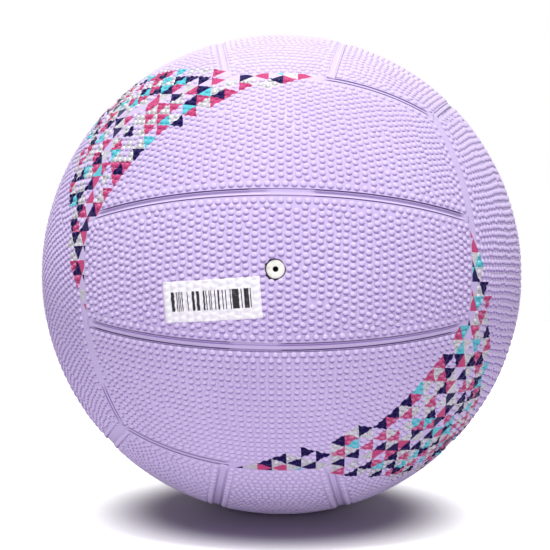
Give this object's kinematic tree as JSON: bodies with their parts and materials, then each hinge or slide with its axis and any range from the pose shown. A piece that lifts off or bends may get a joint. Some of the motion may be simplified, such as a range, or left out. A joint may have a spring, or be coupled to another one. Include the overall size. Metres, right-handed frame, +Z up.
{
  "type": "netball",
  "caption": "Inflated rubber ball covered in crosswise strip panels with flat seam ribs between them, a needle valve and an inner bladder.",
  "frame": {"origin": "centre of the ball", "axes": "+Z up; the valve faces -Y, where the needle goes in; X runs along the panels of the valve's face"},
  "size_m": [0.222, 0.222, 0.222],
  "materials": {
    "cover": "matte",
    "lining": "matte",
    "winding": "matte",
    "bladder": "matte",
    "housing": "matte",
    "plug": "matte",
    "label": "satin"
  },
  "bodies": {
    "root": {"panel_front_upper": "cover", "panel_front_middle": "cover", "panel_front_lower": "cover", "panel_back_upper": "cover", "panel_back_middle": "cover", "panel_back_lower": "cover", "panel_top_left": "cover", "panel_top_middle": "cover", "panel_top_right": "cover", "panel_bottom_left": "cover", "panel_bottom_middle": "cover", "panel_bottom_right": "cover", "panel_left_front": "cover", "panel_left_middle": "cover", "panel_left_back": "cover", "panel_right_front": "cover", "panel_right_middle": "cover", "panel_right_back": "cover", "seam_lining": "lining", "thread_winding": "winding", "bladder": "bladder", "valve_housing": "housing", "valve_plug": "plug", "label": "label"}
  },
  "joints": []
}
